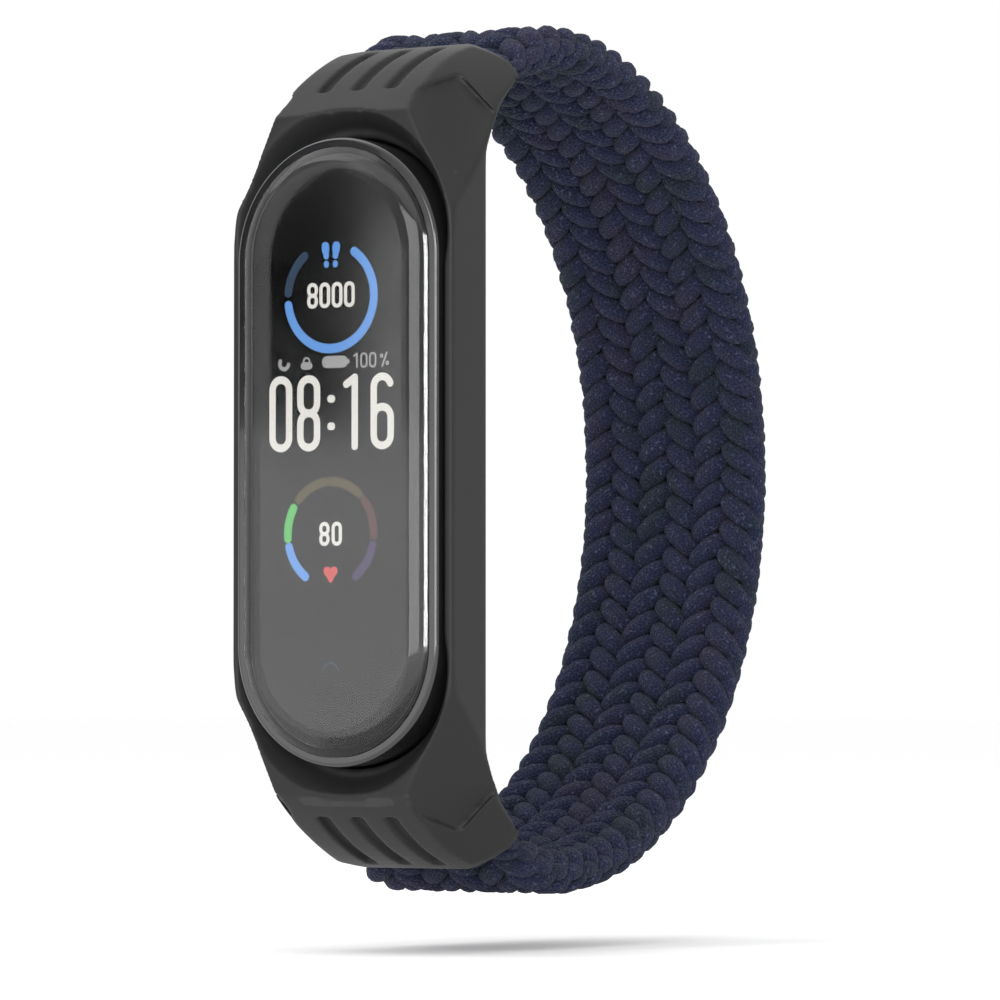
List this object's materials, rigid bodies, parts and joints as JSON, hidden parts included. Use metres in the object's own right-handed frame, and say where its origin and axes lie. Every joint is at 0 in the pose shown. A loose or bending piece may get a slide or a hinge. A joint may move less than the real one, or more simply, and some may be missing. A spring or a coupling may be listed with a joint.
{
  "type": "fitness tracker band",
  "caption": "Slim fitness tracker: a pill-shaped capsule with a curved glass screen, held in a moulded frame on a braided elastic loop.",
  "frame": {"origin": "centre of the loop, on the axis of the wrist that wears it", "axes": "+X along the wrist, to the right as the screen is read; -Y out of the screen; +Z towards the top of the screen"},
  "size_m": [0.0198, 0.0505, 0.0664],
  "materials": {
    "screen_glass": "polished, with a curved edge",
    "black_seal": "matte",
    "display_black": "gloss",
    "amber_film": "satin film",
    "gloss_case": "high gloss",
    "satin_case": "satin",
    "grey_alloy": "satin",
    "board_green": "solder mask",
    "chip_black": "matte moulded",
    "nickel": "bright plated",
    "ceramic_tan": "fired ceramic",
    "ivory_plastic": "matte",
    "copper": "etched foil",
    "foil_silver": "crinkled foil",
    "tungsten": "sintered",
    "window_tint": "polished, dark tint",
    "led_yellow": "phosphor",
    "photodiode_dark": "polished silicon",
    "gold": "gold plated",
    "frame_rubber": "soft matte moulded",
    "spring_steel": "drawn",
    "strap_end_plastic": "matte moulded",
    "braided_yarn": "braided elastic yarn"
  },
  "bodies": {
    "band": {"band_frame": "frame_rubber", "upper_bar_tube": "spring_steel", "lower_bar_tube": "spring_steel", "upper_bar_spring": "spring_steel", "lower_bar_spring": "spring_steel", "upper_strap_end": "strap_end_plastic", "lower_strap_end": "strap_end_plastic"},
    "tracker": {"cover_glass": "screen_glass", "glass_adhesive": "black_seal", "display_panel": "display_black", "display_flex": "amber_film", "upper_case": "gloss_case", "case_seal": "black_seal", "rear_cover": "satin_case", "inner_chassis": "grey_alloy", "main_board": "board_green", "processor_chip": "chip_black", "memory_chip": "chip_black", "power_chip": "chip_black", "motion_sensor": "chip_black", "clock_crystal": "nickel", "board_capacitors": "ceramic_tan", "flex_connector": "ivory_plastic", "antenna_strip": "copper", "battery_cell": "foil_silver", "battery_guard_board": "board_green", "motor_case": "nickel", "motor_shaft": "spring_steel", "sensor_board": "board_green", "sensor_window": "window_tint", "light_baffle": "black_seal", "green_leds": "led_yellow", "photodiode": "photodiode_dark", "charge_pads": "gold", "charge_magnets": "nickel"},
    "motor_rotor": {"motor_weight": "tungsten"},
    "strap": {"braided_strap": "braided_yarn"},
    "upper_left_pin": {"upper_bar_left_tip": "spring_steel"},
    "upper_right_pin": {"upper_bar_right_tip": "spring_steel"},
    "lower_left_pin": {"lower_bar_left_tip": "spring_steel"},
    "lower_right_pin": {"lower_bar_right_tip": "spring_steel"}
  },
  "joints": [
    {"name": "tracker_release", "type": "slide", "parent": "band", "child": "tracker", "axis": [0, -1, 0], "range_m": [0, 0.02]},
    {"name": "motor_spin", "type": "hinge", "parent": "tracker", "child": "motor_rotor", "pos_m": [0, -0.017, -0.0154], "axis": [0, 1, 0], "continuous": true},
    {"name": "strap_stretch", "type": "slide", "parent": "band", "child": "strap", "axis": [0, 1, 0], "range_m": [0, 0.012], "stiffness_N_per_m": 60, "deforming": ["braided_strap"]},
    {"name": "upper_left_pin_retract", "type": "slide", "parent": "band", "child": "upper_left_pin", "axis": [1, 0, 0], "range_m": [0, 0.0007], "stiffness_N_per_m": 800, "deforming": ["upper_bar_spring"]},
    {"name": "upper_right_pin_retract", "type": "slide", "parent": "band", "child": "upper_right_pin", "axis": [-1, 0, 0], "range_m": [0, 0.0007], "stiffness_N_per_m": 800, "deforming": ["upper_bar_spring"]},
    {"name": "lower_left_pin_retract", "type": "slide", "parent": "band", "child": "lower_left_pin", "axis": [1, 0, 0], "range_m": [0, 0.0007], "stiffness_N_per_m": 800, "deforming": ["lower_bar_spring"]},
    {"name": "lower_right_pin_retract", "type": "slide", "parent": "band", "child": "lower_right_pin", "axis": [-1, 0, 0], "range_m": [0, 0.0007], "stiffness_N_per_m": 800, "deforming": ["lower_bar_spring"]}
  ]
}
